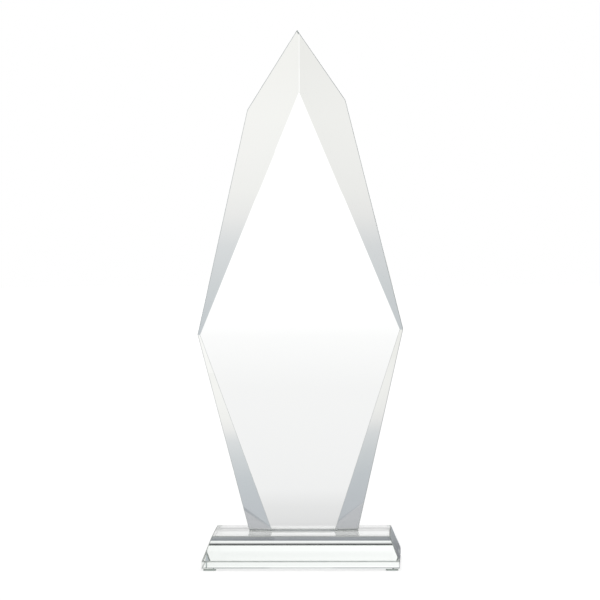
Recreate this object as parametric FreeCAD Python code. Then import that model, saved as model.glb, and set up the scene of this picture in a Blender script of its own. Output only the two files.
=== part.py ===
import FreeCAD, Part
import math
import os

# Crystal award: a faceted glass blade bonded upright on a bevelled glass base.
# Millimetres. +X is the award's right, +Y is its back, +Z is up.
# The origin is the middle of the footprint, on the surface the award stands on.

# Base block: an upright lower band, with sloping bevels above it on all four sides.
BASE_WIDTH = 104.0
BASE_DEPTH = 60.0
BASE_HEIGHT = 16.8
BASE_BAND_HEIGHT = 4.0
BASE_BEVEL_RUN = 5.2
BASE_ARRIS = 0.4

# Self-adhesive bumper pads under the corners of the base.
PAD_WIDTH = 6.6
PAD_DEPTH = 6.6
PAD_HEIGHT = 1.0
PAD_CORNER_RADIUS = 1.0
PAD_INSET = 0.8

# Adhesive film between the blade and the base.
BOND_THICKNESS = 0.15
BOND_INSET = 0.2

# Blade outline: corners as distances from the centre line and heights above the foot.
# It is cut by hand, so the right shoulder and right point stand a little higher
# than the left ones, and the apex is a little left of the middle of the foot.
APEX_X = -1.3
APEX_HEIGHT = 265.7
LEFT_SHOULDER = (-28.1, 223.6)
RIGHT_SHOULDER = (24.0, 228.6)
LEFT_POINT = (-54.9, 104.8)
RIGHT_POINT = (54.1, 107.3)
LEFT_FOOT = (-28.3, 0.0)
RIGHT_FOOT = (29.6, 0.0)

# Flat kite left on the front face between the four facets.
KITE_TOP = (-0.2, 233.0)
KITE_LEFT = (-53.5, 104.5)
KITE_RIGHT = (52.3, 107.1)
KITE_LEFT_FOOT = (-15.9, 0.0)
KITE_RIGHT_FOOT = (17.2, 0.0)

BLADE_THICKNESS = 12.0
BLADE_BACK_SHIFT = 0.5
FACET_ANGLE = 17.5
BLADE_CORNER_ARRIS = 0.3
BLADE_RIDGE_ARRIS = 0.12

# An edge is a ridge if it turns by more than the first angle, and a corner by more
# than the second. A gentler edge keeps its line.
RIDGE_LEAST_TURN = 15.0
CORNER_LEAST_TURN = 40.0

# Heights of the stack, from the standing surface up.
base_floor = PAD_HEIGHT
base_top = base_floor + BASE_HEIGHT
blade_floor = base_top + BOND_THICKNESS

# The blade runs from its front face to its back face along Y.
blade_front = BLADE_BACK_SHIFT - BLADE_THICKNESS / 2
blade_back = blade_front + BLADE_THICKNESS

# Larger than the whole award, for cutting solids.
CUTTER_REACH = 200.0


def point(x, y, z):
    return FreeCAD.Vector(x, y, z)


def prism(corners, travel):
    """A solid from a closed outline of corners, pushed along the travel vector."""
    outline = Part.makePolygon(corners + [corners[0]])
    return Part.Face(outline).extrude(travel)


def arris_cutter(edge, first_normal, second_normal, size):
    """A slab whose inner face cuts size off both faces that meet at an edge."""
    turn = first_normal.getAngle(second_normal)
    outward = (first_normal + second_normal).normalize()
    along = edge.tangentAt(edge.FirstParameter)
    across = outward.cross(along)
    middle = edge.CenterOfMass - outward * (size * math.sin(turn / 2))
    reach_along = along * CUTTER_REACH
    reach_across = across * CUTTER_REACH
    corners = [
        middle - reach_along - reach_across,
        middle + reach_along - reach_across,
        middle + reach_along + reach_across,
        middle - reach_along + reach_across,
    ]
    return prism(corners, outward * CUTTER_REACH)


def take_off_arrises(solid, ridge_size, corner_size):
    """Cut a narrow flat along every ridge and corner of a convex, flat-faced solid."""
    finished = solid
    for edge in solid.Edges:
        faces = solid.ancestorsOfType(edge, Part.Face)
        normals = [face.normalAt(0, 0) for face in faces]
        turn = math.degrees(normals[0].getAngle(normals[1]))
        size = corner_size if turn > CORNER_LEAST_TURN else ridge_size
        if turn > RIDGE_LEAST_TURN:
            finished = finished.cut(arris_cutter(edge, normals[0], normals[1], size))
    return finished.Solids[0]


def bevelled_profile(half_width):
    """Half widths and heights of the base, across one pair of its sides."""
    band_top = base_floor + BASE_BAND_HEIGHT
    return [
        (-half_width, base_floor),
        (half_width, base_floor),
        (half_width, band_top),
        (half_width - BASE_BEVEL_RUN, base_top),
        (-half_width + BASE_BEVEL_RUN, base_top),
        (-half_width, band_top),
    ]


def make_base_block():
    """The base: the shape shared by its front profile and its end profile."""
    front = bevelled_profile(BASE_WIDTH / 2)
    end = bevelled_profile(BASE_DEPTH / 2)
    front_corners = [point(x, -BASE_DEPTH, z) for x, z in front]
    end_corners = [point(-BASE_WIDTH, y, z) for y, z in end]
    along_y = prism(front_corners, point(0, 2 * BASE_DEPTH, 0))
    along_x = prism(end_corners, point(2 * BASE_WIDTH, 0, 0))
    block = along_y.common(along_x).Solids[0]
    return take_off_arrises(block, BASE_ARRIS, BASE_ARRIS)


def make_bumper_pad(side_x, side_y):
    """One bumper pad, a square with rounded corners, under one corner of the base."""
    centre_x = side_x * (BASE_WIDTH / 2 - PAD_INSET - PAD_WIDTH / 2)
    centre_y = side_y * (BASE_DEPTH / 2 - PAD_INSET - PAD_DEPTH / 2)
    corner = point(centre_x - PAD_WIDTH / 2, centre_y - PAD_DEPTH / 2, 0)
    pad = Part.makeBox(PAD_WIDTH, PAD_DEPTH, PAD_HEIGHT, corner)
    uprights = [edge for edge in pad.Edges if edge.BoundBox.ZLength > PAD_HEIGHT / 2]
    return pad.makeFillet(PAD_CORNER_RADIUS, uprights)


def on_blade_front(corner):
    """A corner of the blade, placed on its front plane above its foot."""
    x, height = corner
    return point(x, blade_front, blade_floor + height)


def blade_outline():
    """Corners of the blade, clockwise from the apex, on its front plane."""
    corners = [
        (APEX_X, APEX_HEIGHT),
        RIGHT_SHOULDER,
        RIGHT_POINT,
        RIGHT_FOOT,
        LEFT_FOOT,
        LEFT_POINT,
        LEFT_SHOULDER,
    ]
    return [on_blade_front(corner) for corner in corners]


def facet_cutter(low_corner, high_corner, side_x):
    """
    The wedge of glass ground away outside one edge of the kite.
    It starts at that edge, on the front plane, and gets deeper towards the outline.
    """
    low = on_blade_front(low_corner)
    edge = (on_blade_front(high_corner) - low).normalize()
    outward = point(side_x * edge.z, 0, -side_x * edge.x)
    start = low - edge * CUTTER_REACH
    far_out = start + outward * CUTTER_REACH
    depth = point(0, CUTTER_REACH * math.tan(math.radians(FACET_ANGLE)), 0)
    return prism([start, far_out, far_out + depth], edge * (3 * CUTTER_REACH))


def make_crystal_blade():
    """The blade: an upright plate with four broad facets ground on its front."""
    blade = prism(blade_outline(), point(0, BLADE_THICKNESS, 0))
    kite_sides = (
        (-1, KITE_LEFT, KITE_LEFT_FOOT),
        (1, KITE_RIGHT, KITE_RIGHT_FOOT),
    )
    for side_x, kite_point, kite_foot in kite_sides:
        blade = blade.cut(facet_cutter(kite_point, KITE_TOP, side_x))
        blade = blade.cut(facet_cutter(kite_foot, kite_point, side_x))
    return take_off_arrises(blade.Solids[0], BLADE_RIDGE_ARRIS, BLADE_CORNER_ARRIS)


def make_adhesive_bond(blade):
    """The clear cured film under the blade's foot, just inside the foot's edges."""
    foot = min(blade.Faces, key=lambda face: face.CenterOfMass.z)
    film_outline = foot.makeOffset2D(-BOND_INSET)
    film = film_outline.extrude(point(0, 0, -BOND_THICKNESS))
    return film.Solids[0]


def main():
    os.makedirs("parts", exist_ok=True)
    blade = make_crystal_blade()
    parts = {
        "crystal_blade": blade,
        "adhesive_bond": make_adhesive_bond(blade),
        "base_block": make_base_block(),
    }
    for side_y, row in ((-1, "front"), (1, "back")):
        for side_x, side in ((-1, "left"), (1, "right")):
            parts[f"bumper_pad_{row}_{side}"] = make_bumper_pad(side_x, side_y)
    for name, shape in parts.items():
        shape.exportStep(os.path.join("parts", name + ".step"))
        box = shape.BoundBox
        print(f"{name}: {box.XLength:.2f} x {box.YLength:.2f} x {box.ZLength:.2f} mm,",
              f"{shape.Volume / 1000:.2f} cm3, valid {shape.isValid()}, solids {len(shape.Solids)},",
              f"faces {len(shape.Faces)}")


main()
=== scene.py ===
import math

import bmesh
import bpy
from mathutils import Matrix, Vector


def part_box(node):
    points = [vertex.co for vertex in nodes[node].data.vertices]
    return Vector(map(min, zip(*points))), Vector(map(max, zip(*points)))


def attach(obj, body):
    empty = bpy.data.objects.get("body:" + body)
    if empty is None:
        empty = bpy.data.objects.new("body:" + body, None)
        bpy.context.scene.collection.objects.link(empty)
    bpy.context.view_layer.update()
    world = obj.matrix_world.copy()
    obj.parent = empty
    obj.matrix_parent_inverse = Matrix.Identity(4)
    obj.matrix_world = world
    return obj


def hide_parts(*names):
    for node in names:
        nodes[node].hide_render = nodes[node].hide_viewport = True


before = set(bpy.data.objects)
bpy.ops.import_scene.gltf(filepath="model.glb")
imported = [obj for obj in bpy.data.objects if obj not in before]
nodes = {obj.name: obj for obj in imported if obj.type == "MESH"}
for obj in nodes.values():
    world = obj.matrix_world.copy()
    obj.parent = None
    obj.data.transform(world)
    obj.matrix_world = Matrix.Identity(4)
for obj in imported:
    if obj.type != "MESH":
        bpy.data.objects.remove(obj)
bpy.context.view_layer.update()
MM = 0.001

# Camera: where it stands, how it leans and its lens. Angles are in degrees.
CAMERA_AZIMUTH = 2.142
CAMERA_ELEVATION = 3.033
CAMERA_ROLL = -0.326
CAMERA_DISTANCE = 1800 * MM
CAMERA_TARGET = Vector((-0.62, 0.0, 140.68)) * MM
CAMERA_LENS = 203.44
SENSOR_WIDTH = 36.0

# Studio sizes, in metres.
FLOOR_HALF_SIDE = 3.0
BOARD_OUTER = 5.5
BOARD_NEAREST = 0.03
BOARD_SEGMENTS = 48
BOARD_LIFT = 0.05 * MM
DOME_RADIUS = 12.0
DOME_SUBDIVISIONS = 4

# Light levels are in units where 1 is plain white.
FLOOR_GRAIN = 4.0
FLOOR_PALE = (0.88, 0.92)
FLOOR_ROUGHNESS = 0.9
FLOOR_GLOW = 0.82
# Painted contact shadow: the table's glow falls to this share under the base and rises to full
# just outside it.
CONTACT_SHADE = 0.78
CONTACT_REACH = (-1 * MM, 1.5 * MM)

# The surround close to the base, as shares of the margin, from the base outwards: a dimmer grey
# under the base and a near-black band just outside it are painted shadow, fading through grey to
# the white plinth.
PLINTH_MARGIN = 9.4 * MM
PLINTH_SHADOW_TONES = [
    (0.0, (0.7, 0.7, 0.7)), (0.03, (0.04, 0.04, 0.05)), (0.39, (0.05, 0.05, 0.06)),
    (0.48, (0.42, 0.42, 0.43)), (0.6, (0.5, 0.5, 0.5)), (0.67, (1.0, 1.0, 1.0)),
]

# The surround's painted tones further out, by metres from the award: behind it to the left and
# right.
SIDE_TONES = [
    (0.04, (0.27, 0.28, 0.31)), (0.14, (0.29, 0.3, 0.32)), (0.25, (0.46, 0.49, 0.51)),
    (0.5, (0.5, 0.53, 0.56)), (0.9, (0.53, 0.565, 0.59)), (1.3, (0.6, 0.63, 0.645)),
    (1.7, (0.68, 0.7, 0.71)), (2.05, (0.82, 0.82, 0.81)), (2.4, (0.87, 0.87, 0.85)),
    (3.0, (0.895, 0.895, 0.875)), (3.9, (0.91, 0.91, 0.885)), (5.5, (0.895, 0.895, 0.87)),
]
# The same, beside and in front of the award.
OPEN_TONES = [
    (0.04, (0.27, 0.28, 0.31)), (0.13, (0.3, 0.31, 0.33)), (0.22, (0.6, 0.62, 0.63)),
    (0.5, (0.78, 0.79, 0.8)), (1.0, (0.85, 0.86, 0.86)), (5.5, (0.91, 0.91, 0.9)),
]
# The same, in a painted light strip straight behind it.
MIDDLE_TONES = [
    (0.04, (0.28, 0.29, 0.32)), (0.1, (0.5, 0.5, 0.52)), (0.19, (0.76, 0.76, 0.76)),
    (0.27, (0.8, 0.8, 0.8)), (0.37, (0.89, 0.89, 0.89)), (1.2, (0.92, 0.92, 0.92)),
    (1.9, (0.99, 0.99, 0.99)), (2.5, (1.1, 1.1, 1.1)), (5.5, (1.2, 1.2, 1.2)),
]
# How far behind the award a point is, over its distance: where the side tones begin and are full.
SECTOR_NONE = 0.7
SECTOR_FULL = 0.9
# The strip drifts to the left with distance, and its half width is a start and a slope.
MIDDLE_SLANT = 0.0374
MIDDLE_FULL = (11.8 * MM, 0.051)
MIDDLE_NONE = (13 * MM, 0.053)
# How much brighter the right of the studio is than its middle.
TILT = 0.25

# The world's light, by the direction's share to the side and by its share upwards.
WORLD_ACROSS = [
    (0.0, (1.2, 1.2, 1.2)), (0.06, (1.15, 1.15, 1.15)), (0.1, (0.95, 0.95, 0.92)),
    (0.2, (0.94, 0.94, 0.91)), (0.5, (0.75, 0.75, 0.75)), (0.75, (0.5, 0.5, 0.51)),
    (1.0, (0.42, 0.42, 0.43)),
]
WORLD_UP = [
    (0.01, (0.94, 0.94, 0.94)), (0.08, (0.9, 0.9, 0.9)), (0.2, (0.88, 0.88, 0.88)),
    (0.33, (0.92, 0.92, 0.92)), (0.6, (0.15, 0.15, 0.15)),
]

# Glass.
CRYSTAL_IOR = 1.52
CONTACT_GAP = 0.02 * MM
GLASS_TINT = (0.7, 0.85, 0.74, 1.0)
GLASS_DENSITY = 3.0
HAZE_GRAIN = 60.0
HAZE_MOST = 0.004

# Arrises: a narrow face is one. Leans are in degrees, for arrises facing up and facing down.
ARRIS_MOST_AREA = 150 * MM * MM
ARRIS_GRAIN = 300.0
ARRIS_ROUGHNESS = 0.35
# Painted shade on the arrises close to the table, down to this share below the lower height.
ARRIS_SHADE = 0.02
ARRIS_SHADE_HEIGHTS = (1.8 * MM, 2.4 * MM)
BLADE_SATIN_LEANS = (10.0, 4.0)
# The satin greys are partly a ground finish and partly painted shade, laid by the side of the
# arris that the ray meets.
BLADE_SATIN_SHADE = [(0.3, (0.36, 0.38, 0.37)), (0.7, (0.5, 0.52, 0.51))]
BASE_SATIN_LEANS = (4.0, 90.0)
BASE_SATIN_SHADE = [(0.3, (0.24, 0.26, 0.26)), (0.7, (0.34, 0.36, 0.35))]

# The painted shade on the small triangles at the feet of the lower facets. A facet's normal has a
# Y share between the two leans. The edge of a triangle slopes, and starts at a distance from a
# middle.
FACET_LEAN = (0.9, 0.985)
FOOT_SHADE_COLOUR = (0.33, 0.345, 0.37)
FOOT_SHADE_START = (11.3 * MM, 13.8 * MM)
FOOT_SHADE_MIDDLE = -1.1 * MM
FOOT_SHADE_SLOPE = 1.41

# Adhesive: its rim's profile is (distance outwards in mm, share of the film's thickness).
RESIN_COLOUR = (0.9, 0.92, 0.9, 1.0)
RESIN_CLEARNESS = 0.9
RESIN_IOR = 1.0
RESIN_GRAIN = 900.0
RESIN_ROUGHNESS = (0.05, 0.2)
RESIN_RIM = [(0.0, 1.0), (0.08, 0.82), (0.13, 0.5), (0.2, 0.2), (0.32, 0.0)]

# Bumper pads.
RUBBER_COLOURS = [(0.3, (0.26, 0.32, 0.29)), (0.7, (0.36, 0.43, 0.39))]
RUBBER_CLEARNESS = 0.75
RUBBER_IOR = 1.45
RUBBER_CLOUD_GRAIN = 400.0
RUBBER_SATIN_GRAIN = 1500.0
RUBBER_ROUGHNESS = (0.3, 0.5)
RUBBER_BUMP_GRAIN = 6000.0
RUBBER_BUMP_DEPTH = 0.03 * MM
RUBBER_BUMP_STRENGTH = 0.5
PAD_WELD = 0.01 * MM
PAD_ROUNDING = 0.22 * MM
PAD_ROUNDING_SEGMENTS = 3
PAD_SHARPEST = math.radians(40)

# Noise patterns, and the part of a pattern's range that is used.
NOISE_DETAIL = 3.0
NOISE_ROUGHNESS = 0.5
NOISE_LOW = 0.3
NOISE_HIGH = 0.7

# Light paths through the glass.
MOST_BOUNCES = 24
MOST_GLOSSY_BOUNCES = 12


def socket(node, name, value):
    """Sets a node's input to a plain value."""
    node.inputs[name].default_value = value


def new_material(name):
    """A node material with one Principled shader: the material, its tree and that shader."""
    material = bpy.data.materials.new(name)
    material.use_nodes = True
    tree = material.node_tree
    return material, tree, tree.nodes["Principled BSDF"]


def add(tree, kind, operation=None):
    """A new node of a kind, set to an operation."""
    node = tree.nodes.new(kind)
    if operation:
        node.operation = operation
    return node


def math_node(tree, operation, a, b=None, c=None):
    """A Math node's result, from sockets or plain numbers."""
    node = add(tree, "ShaderNodeMath", operation)
    for slot, value in enumerate((a, b, c)):
        if isinstance(value, bpy.types.NodeSocket):
            tree.links.new(value, node.inputs[slot])
        elif value is not None:
            node.inputs[slot].default_value = value
    return node.outputs[0]


def object_position(tree):
    """The point being shaded, in the object's own metres."""
    return add(tree, "ShaderNodeTexCoord").outputs["Object"]


def noise(tree, scale):
    """A noise pattern's factor over the object, with features 1/scale metres across."""
    node = add(tree, "ShaderNodeTexNoise")
    tree.links.new(object_position(tree), node.inputs["Vector"])
    socket(node, "Scale", scale)
    socket(node, "Detail", NOISE_DETAIL)
    socket(node, "Roughness", NOISE_ROUGHNESS)
    return node.outputs["Fac"]


def spread(tree, factor, low, high, start=NOISE_LOW, stop=NOISE_HIGH):
    """A factor moved into the range from low to high."""
    node = add(tree, "ShaderNodeMapRange")
    tree.links.new(factor, node.inputs["Value"])
    socket(node, "From Min", start)
    socket(node, "From Max", stop)
    socket(node, "To Min", low)
    socket(node, "To Max", high)
    return node.outputs["Result"]


def bump(tree, shader, height, depth, strength):
    """Turns a height pattern into a bump on a shader."""
    node = add(tree, "ShaderNodeBump")
    socket(node, "Strength", strength)
    socket(node, "Distance", depth)
    tree.links.new(height, node.inputs["Height"])
    tree.links.new(node.outputs["Normal"], shader.inputs["Normal"])


def ramp(tree, factor, stops):
    """A colour ramp through (position, colour) stops."""
    node = add(tree, "ShaderNodeValToRGB")
    elements = node.color_ramp.elements
    while len(elements) < len(stops):
        elements.new(0.5)
    for element, (position, colour) in zip(elements, stops):
        element.position = position
        element.color = (*colour, 1.0)
    tree.links.new(factor, node.inputs["Fac"])
    return node.outputs["Color"]


def mix_colours(tree, factor, first, second, blend="MIX"):
    """Two colours mixed or multiplied; each is a socket or a plain colour."""
    node = add(tree, "ShaderNodeMix")
    node.data_type = "RGBA"
    node.blend_type = blend
    for slot, value in ((0, factor), (6, first), (7, second)):
        if isinstance(value, bpy.types.NodeSocket):
            tree.links.new(value, node.inputs[slot])
        elif slot == 0:
            node.inputs[slot].default_value = value
        else:
            node.inputs[slot].default_value = (*value, 1.0)
    return node.outputs[2]


def split_axes(tree, vector):
    """The X, Y and Z parts of a vector socket."""
    node = add(tree, "ShaderNodeSeparateXYZ")
    tree.links.new(vector, node.inputs[0])
    return node.outputs["X"], node.outputs["Y"], node.outputs["Z"]


def grey(value):
    """A neutral colour."""
    return (value, value, value)


def bond_outline():
    """The bonded footprint's corners in order, as (x, y), from the adhesive's own solid."""
    mesh = nodes["adhesive_bond"].data
    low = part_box("adhesive_bond")[0].z
    corners = {
        (round(v.co.x, 6), round(v.co.y, 6)) for v in mesh.vertices if v.co.z < low + CONTACT_GAP
    }
    middle_x = sum(x for x, _ in corners) / len(corners)
    middle_y = sum(y for _, y in corners) / len(corners)
    return sorted(corners, key=lambda p: math.atan2(p[1] - middle_y, p[0] - middle_x))


def bonded_mask(tree, outline, level):
    """1 where the glass is wetted by the adhesive, at a level and inside its outline, else 0."""
    x, y, z = split_axes(tree, object_position(tree))
    off_level = math_node(tree, "SUBTRACT", z, level)
    mask = math_node(tree, "LESS_THAN", math_node(tree, "ABSOLUTE", off_level), CONTACT_GAP)
    for start, end in zip(outline, outline[1:] + outline[:1]):
        side = Vector((end[1] - start[1], start[0] - end[0])).normalized()
        across = math_node(tree, "MULTIPLY", x, side.x)
        across = math_node(tree, "MULTIPLY_ADD", y, side.y, across)
        inside = math_node(tree, "LESS_THAN", across, side.dot(Vector(start)))
        mask = math_node(tree, "MULTIPLY", mask, inside)
    return mask


def main_normals(node):
    """The directions of a flat-faced CAD piece's large faces, without its narrow arrises."""
    areas = {}
    for polygon in nodes[node].data.polygons:
        key = tuple(round(value, 2) for value in polygon.normal)
        total, _ = areas.get(key, (0.0, None))
        areas[key] = (total + polygon.area, polygon.normal.copy())
    return [normal for total, normal in areas.values() if total > ARRIS_MOST_AREA]


def arris_mask(tree, node, satin_leans):
    """
    1 on a CAD piece's satin arrises, and 0 on its polished faces and its other arrises.
    An arris is satin where its normal, on the side the ray meets, leans far enough from
    every large face. The two least leans are for normals that point up and down.
    """
    facing = add(tree, "ShaderNodeNewGeometry").outputs["Normal"]
    nearest = 0.0
    for normal in main_normals(node):
        product = add(tree, "ShaderNodeVectorMath", "DOT_PRODUCT")
        tree.links.new(facing, product.inputs[0])
        product.inputs[1].default_value = normal
        aligned = math_node(tree, "ABSOLUTE", product.outputs["Value"])
        nearest = math_node(tree, "MAXIMUM", aligned, nearest)
    upward, downward = (math.cos(math.radians(lean)) for lean in satin_leans)
    faces_up = math_node(tree, "GREATER_THAN", split_axes(tree, facing)[2], 0.0)
    limit = math_node(tree, "MULTIPLY_ADD", faces_up, upward - downward, downward)
    return math_node(tree, "LESS_THAN", nearest, limit)


def foot_shade(tree):
    """
    Painted shade on the small triangles at the feet of the blade's lower facets. The surround is
    too light where they look at it. Everything else is left white.
    """
    x, _, z = split_axes(tree, object_position(tree))
    above = math_node(tree, "SUBTRACT", z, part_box("crystal_blade")[0].z)
    rise = math_node(tree, "MULTIPLY", above, -FOOT_SHADE_SLOPE)
    across = math_node(tree, "ABSOLUTE", math_node(tree, "SUBTRACT", x, FOOT_SHADE_MIDDLE))
    reach = math_node(tree, "ADD", across, rise)
    shade = spread(tree, reach, 0.0, 1.0, *FOOT_SHADE_START)
    facing = split_axes(tree, add(tree, "ShaderNodeNewGeometry").outputs["Normal"])[1]
    lean = math_node(tree, "ABSOLUTE", facing)
    leans = math_node(tree, "GREATER_THAN", lean, FACET_LEAN[0])
    flat = math_node(tree, "GREATER_THAN", lean, FACET_LEAN[1])
    facet = math_node(tree, "SUBTRACT", leans, flat)
    facet = math_node(tree, "MULTIPLY", facet, math_node(tree, "GREATER_THAN", above, 0.0))
    return mix_colours(tree, math_node(tree, "MULTIPLY", facet, shade), grey(1.0), FOOT_SHADE_COLOUR)


def table_shade(tree):
    """Painted shade: darkens the arrises that are close to the table."""
    z = split_axes(tree, object_position(tree))[2]
    return spread(tree, z, ARRIS_SHADE, 1.0, *ARRIS_SHADE_HEIGHTS)


def glass_material(name, node, satin_leans, satin_shade_colours, outline, level):
    """Polished optical glass, faintly green in its depth, with satin ground arrises whose grey is
    partly painted shade, and painted shade at the feet of the blade's lower facets.
    """
    material, tree, shader = new_material(name)
    arris = arris_mask(tree, node, satin_leans)
    # Satin grey, partly a ground finish and partly painted shade, darkened further by painted
    # shade close to the table.
    ground = ramp(tree, noise(tree, ARRIS_GRAIN), satin_shade_colours)
    ground = mix_colours(tree, 1.0, ground, table_shade(tree), "MULTIPLY")
    # Painted shade at the feet of the blade's lower facets.
    polished = foot_shade(tree)
    tree.links.new(mix_colours(tree, arris, polished, ground), shader.inputs["Base Color"])
    socket(shader, "Transmission Weight", 1.0)
    haze = spread(tree, noise(tree, HAZE_GRAIN), 0.0, HAZE_MOST)
    rough = math_node(tree, "MULTIPLY_ADD", arris, ARRIS_ROUGHNESS, haze)
    tree.links.new(rough, shader.inputs["Roughness"])
    mask = bonded_mask(tree, outline, level)
    matched = math_node(tree, "MULTIPLY_ADD", mask, 1.0 - CRYSTAL_IOR, CRYSTAL_IOR)
    tree.links.new(matched, shader.inputs["IOR"])
    absorb = add(tree, "ShaderNodeVolumeAbsorption")
    socket(absorb, "Color", GLASS_TINT)
    socket(absorb, "Density", GLASS_DENSITY)
    tree.links.new(absorb.outputs[0], tree.nodes["Material Output"].inputs["Volume"])
    return material


def resin_material():
    """Clear cured adhesive, a little uneven, that doesn't bend the light between the glasses."""
    material, tree, shader = new_material("clear_adhesive")
    socket(shader, "Base Color", RESIN_COLOUR)
    socket(shader, "Transmission Weight", RESIN_CLEARNESS)
    socket(shader, "IOR", RESIN_IOR)
    rough = spread(tree, noise(tree, RESIN_GRAIN), *RESIN_ROUGHNESS)
    tree.links.new(rough, shader.inputs["Roughness"])
    return material


def pad_material():
    """Clear grey-green bumper rubber, satin from its mould and faintly cloudy."""
    material, tree, shader = new_material("clear_rubber")
    cloud = ramp(tree, noise(tree, RUBBER_CLOUD_GRAIN), RUBBER_COLOURS)
    tree.links.new(cloud, shader.inputs["Base Color"])
    socket(shader, "Transmission Weight", RUBBER_CLEARNESS)
    socket(shader, "IOR", RUBBER_IOR)
    rough = spread(tree, noise(tree, RUBBER_SATIN_GRAIN), *RUBBER_ROUGHNESS)
    tree.links.new(rough, shader.inputs["Roughness"])
    grain = noise(tree, RUBBER_BUMP_GRAIN)
    bump(tree, shader, grain, RUBBER_BUMP_DEPTH, RUBBER_BUMP_STRENGTH)
    return material


def dress(node, material):
    """Puts a material on every slot of a CAD node."""
    mesh = nodes[node].data
    if not mesh.materials:
        mesh.materials.append(material)
    for index in range(len(mesh.materials)):
        mesh.materials[index] = material


def link(name, mesh):
    """A new object in the scene, from a mesh."""
    obj = bpy.data.objects.new(name, mesh)
    bpy.context.scene.collection.objects.link(obj)
    return obj


def emission_material(name, colour_of):
    """A plain glowing surface whose colour a function builds in its tree."""
    material = bpy.data.materials.new(name)
    material.use_nodes = True
    tree = material.node_tree
    tree.nodes.remove(tree.nodes["Principled BSDF"])
    glow = add(tree, "ShaderNodeEmission")
    tree.links.new(colour_of(tree), glow.inputs["Color"])
    tree.links.new(glow.outputs[0], tree.nodes["Material Output"].inputs["Surface"])
    material.cycles.emission_sampling = "NONE"
    return material


def flat_sheet(name, half, segments, height):
    """A square sheet of quads lying level."""
    bm = bmesh.new()
    bmesh.ops.create_grid(bm, x_segments=segments, y_segments=segments, size=half)
    bmesh.ops.translate(bm, verts=bm.verts, vec=(0, 0, height))
    mesh = bpy.data.meshes.new(name)
    bm.to_mesh(mesh)
    bm.free()
    return link(name, mesh)


def away_from_base(tree):
    """How far a point on the table is outside the base's footprint."""
    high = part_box("base_block")[1]
    x, y, _ = split_axes(tree, object_position(tree))
    away_x = math_node(tree, "SUBTRACT", math_node(tree, "ABSOLUTE", x), high.x)
    away_y = math_node(tree, "SUBTRACT", math_node(tree, "ABSOLUTE", y), high.y)
    return math_node(tree, "MAXIMUM", away_x, away_y)


def make_floor():
    """A flat pale table top that glows from below like a light table, with a painted contact
    shadow in its glow under and just around the base.
    """
    floor = flat_sheet("floor", FLOOR_HALF_SIDE, 1, 0)
    material, tree, shader = new_material("opal_table")
    stops = [(NOISE_LOW, grey(FLOOR_PALE[0])), (NOISE_HIGH, grey(FLOOR_PALE[1]))]
    pale = ramp(tree, noise(tree, FLOOR_GRAIN), stops)
    tree.links.new(pale, shader.inputs["Base Color"])
    socket(shader, "Roughness", FLOOR_ROUGHNESS)
    # Painted contact shadow in the glow, under and just around the base.
    shade = spread(tree, away_from_base(tree), CONTACT_SHADE, 1.0, *CONTACT_REACH)
    tree.links.new(shade, shader.inputs["Emission Color"])
    socket(shader, "Emission Strength", FLOOR_GLOW)
    material.cycles.emission_sampling = "NONE"
    floor.data.materials.append(material)


def by_distance(tree, distance, stops):
    """A ramp whose stops are distances in metres, spaced by their logarithm."""
    span = math.log(BOARD_OUTER / BOARD_NEAREST)
    reach = math_node(tree, "DIVIDE", distance, BOARD_NEAREST)
    share = math_node(tree, "DIVIDE", math_node(tree, "LOGARITHM", reach, math.e), span)
    placed = [(math.log(metres / BOARD_NEAREST) / span, colour) for metres, colour in stops]
    return ramp(tree, share, placed)


def tilt_colour(tree, lean):
    """A grey that brightens towards +X, as the studio does."""
    level = math_node(tree, "MULTIPLY_ADD", lean, TILT, 1.0)
    node = add(tree, "ShaderNodeCombineColor")
    for channel in range(3):
        tree.links.new(level, node.inputs[channel])
    return node.outputs[0]


def board_tones(tree):
    """The surround's painted light and shade: the plinth with its painted shadow close to the
    base, then greys by distance and side, with a painted light strip behind.
    """
    x, y, _ = split_axes(tree, object_position(tree))
    away = away_from_base(tree)
    length = add(tree, "ShaderNodeVectorMath", "LENGTH")
    tree.links.new(object_position(tree), length.inputs[0])
    distance = length.outputs["Value"]
    side = by_distance(tree, distance, SIDE_TONES)
    lean = math_node(tree, "DIVIDE", x, distance)
    side = mix_colours(tree, 1.0, side, tilt_colour(tree, lean), "MULTIPLY")
    behind = math_node(tree, "DIVIDE", y, distance)
    sector = spread(tree, behind, 0.0, 1.0, SECTOR_NONE, SECTOR_FULL)
    side = mix_colours(tree, sector, by_distance(tree, distance, OPEN_TONES), side)
    middle = by_distance(tree, distance, MIDDLE_TONES)
    across = math_node(tree, "ABSOLUTE", math_node(tree, "MULTIPLY_ADD", y, MIDDLE_SLANT, x))
    far = math_node(tree, "ABSOLUTE", y)
    full = math_node(tree, "MULTIPLY_ADD", far, MIDDLE_FULL[1], MIDDLE_FULL[0])
    none = math_node(tree, "MULTIPLY_ADD", far, MIDDLE_NONE[1], MIDDLE_NONE[0])
    into = math_node(tree, "SUBTRACT", none, across)
    fade = math_node(tree, "DIVIDE", into, math_node(tree, "SUBTRACT", none, full))
    fade = math_node(tree, "MINIMUM", math_node(tree, "MAXIMUM", fade, 0.0), 1.0)
    fade = math_node(tree, "MULTIPLY", fade, math_node(tree, "GREATER_THAN", y, 0.0))
    beyond = mix_colours(tree, fade, side, middle)
    # Painted shadow under and just around the base, then the white plinth.
    near = ramp(tree, math_node(tree, "DIVIDE", away, PLINTH_MARGIN), PLINTH_SHADOW_TONES)
    off_plinth = math_node(tree, "GREATER_THAN", away, PLINTH_MARGIN)
    return mix_colours(tree, off_plinth, near, beyond)


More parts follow.
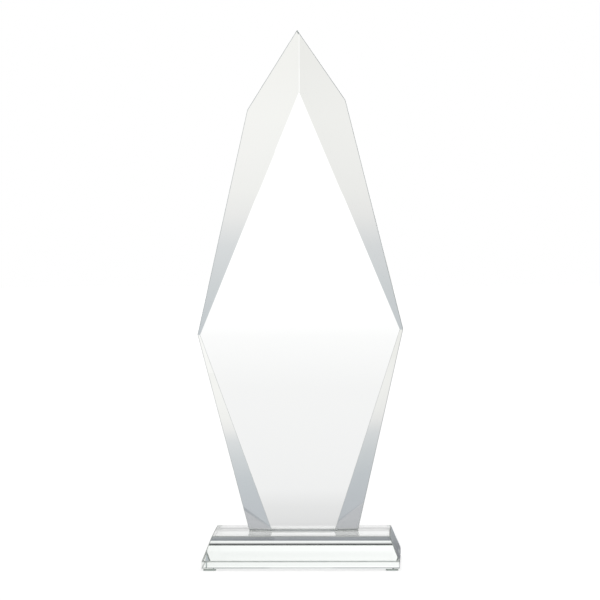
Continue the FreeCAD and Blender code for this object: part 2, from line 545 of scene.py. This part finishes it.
def make_board():
    """The surroundings that the glass sees on the table and the camera doesn't: a glowing sheet
    whose tones are painted light and shade.
    """
    board = flat_sheet("grey_surround", BOARD_OUTER, BOARD_SEGMENTS, BOARD_LIFT)
    board.data.materials.append(emission_material("grey_surround", board_tones))
    board.visible_camera = False
    board.visible_diffuse = False
    board.visible_shadow = False


def plain_white(tree):
    """A white colour socket."""
    node = add(tree, "ShaderNodeRGB")
    node.outputs[0].default_value = (*grey(1.0), 1.0)
    return node.outputs[0]


def make_backdrop():
    """A plain white dome that only the camera sees."""
    bm = bmesh.new()
    bmesh.ops.create_icosphere(bm, subdivisions=DOME_SUBDIVISIONS, radius=DOME_RADIUS)
    mesh = bpy.data.meshes.new("white_dome")
    bm.to_mesh(mesh)
    bm.free()
    dome = link("white_dome", mesh)
    mesh.materials.append(emission_material("white_dome", plain_white))
    dome.visible_diffuse = False
    dome.visible_glossy = False
    dome.visible_transmission = False
    dome.visible_volume_scatter = False
    dome.visible_shadow = False


def make_light():
    """Soft light from all round, brightest to the front and back and darker above."""
    world = bpy.data.worlds.new("studio")
    bpy.context.scene.world = world
    world.use_nodes = True
    tree = world.node_tree
    direction = add(tree, "ShaderNodeTexCoord").outputs["Generated"]
    x, _, z = split_axes(tree, direction)
    level = ramp(tree, math_node(tree, "ABSOLUTE", x), WORLD_ACROSS)
    level = mix_colours(tree, 1.0, level, tilt_colour(tree, x), "MULTIPLY")
    level = mix_colours(tree, 1.0, level, ramp(tree, z, WORLD_UP), "MULTIPLY")
    tree.links.new(level, tree.nodes["Background"].inputs["Color"])


def make_camera():
    """The camera, at its fitted place, lean and lens."""
    azimuth, elevation, roll = (
        math.radians(a) for a in (CAMERA_AZIMUTH, CAMERA_ELEVATION, CAMERA_ROLL)
    )
    flat = math.cos(elevation)
    back = Vector((math.sin(azimuth) * flat, -math.cos(azimuth) * flat, math.sin(elevation)))
    level = (-back).cross(Vector((0, 0, 1))).normalized()
    upright = level.cross(-back)
    right = math.cos(roll) * level + math.sin(roll) * upright
    up = math.cos(roll) * upright - math.sin(roll) * level
    data = bpy.data.cameras.new("camera")
    data.sensor_width = SENSOR_WIDTH
    data.lens = CAMERA_LENS
    camera = bpy.data.objects.new("camera", data)
    bpy.context.scene.collection.objects.link(camera)
    axes = Matrix((right, up, back)).transposed().to_4x4()
    camera.matrix_world = Matrix.Translation(CAMERA_TARGET + CAMERA_DISTANCE * back) @ axes
    bpy.context.scene.camera = camera


def make_adhesive(outline):
    """The cured film between blade and base, with its squeezed-out rounded rim."""
    low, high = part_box("adhesive_bond")
    bottom = low.z + CONTACT_GAP
    top = high.z - CONTACT_GAP
    middle = Vector(((low.x + high.x) / 2, (low.y + high.y) / 2))
    bm = bmesh.new()
    rings = []
    for outward, share in RESIN_RIM:
        ring = []
        for x, y in outline:
            away = (Vector((x, y)) - middle).normalized() * outward * MM
            ring.append(bm.verts.new((x + away.x, y + away.y, bottom + (top - bottom) * share)))
        rings.append(ring)
    for upper, lower in zip(rings, rings[1:]):
        for k in range(len(outline)):
            after = (k + 1) % len(outline)
            bm.faces.new((upper[k], lower[k], lower[after], upper[after]))
    bm.faces.new(rings[0])
    bm.faces.new(rings[-1][::-1])
    bmesh.ops.recalc_face_normals(bm, faces=bm.faces)
    mesh = bpy.data.meshes.new("adhesive_film")
    bm.to_mesh(mesh)
    bm.free()
    film = link("adhesive_film", mesh)
    mesh.materials.append(resin_material())
    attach(film, "root")
    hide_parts("adhesive_bond")


def soften_pad(name):
    """Rounds a bumper pad's moulded edges and leaves it a hair clear of the glass."""
    weld = nodes[name].modifiers.new("weld", "WELD")
    weld.merge_threshold = PAD_WELD
    bevel = nodes[name].modifiers.new("round_edges", "BEVEL")
    bevel.width = PAD_ROUNDING
    bevel.segments = PAD_ROUNDING_SEGMENTS
    bevel.limit_method = "ANGLE"
    bevel.angle_limit = PAD_SHARPEST
    shrink = nodes[name].modifiers.new("shrink", "DISPLACE")
    shrink.strength = -CONTACT_GAP
    shrink.mid_level = 0.0


def make_award():
    """Materials for the CAD pieces, and the adhesive's finer mesh."""
    outline = bond_outline()
    low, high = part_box("adhesive_bond")
    blade = glass_material(
        "crystal", "crystal_blade", BLADE_SATIN_LEANS, BLADE_SATIN_SHADE, outline, high.z
    )
    dress("crystal_blade", blade)
    base = glass_material(
        "base_glass", "base_block", BASE_SATIN_LEANS, BASE_SATIN_SHADE, outline, low.z
    )
    dress("base_block", base)
    pad = pad_material()
    for name in sorted(nodes):
        if name.startswith("bumper_pad"):
            dress(name, pad)
            soften_pad(name)
    make_adhesive(outline)


def set_view():
    """A plain display transform, and enough bounces for light to cross the glass."""
    scene = bpy.context.scene
    scene.view_settings.view_transform = "Standard"
    scene.cycles.max_bounces = MOST_BOUNCES
    scene.cycles.transmission_bounces = MOST_BOUNCES
    scene.cycles.glossy_bounces = MOST_GLOSSY_BOUNCES


make_camera()
make_award()
make_floor()
make_board()
make_backdrop()
make_light()
set_view()

bpy.context.view_layer.update()
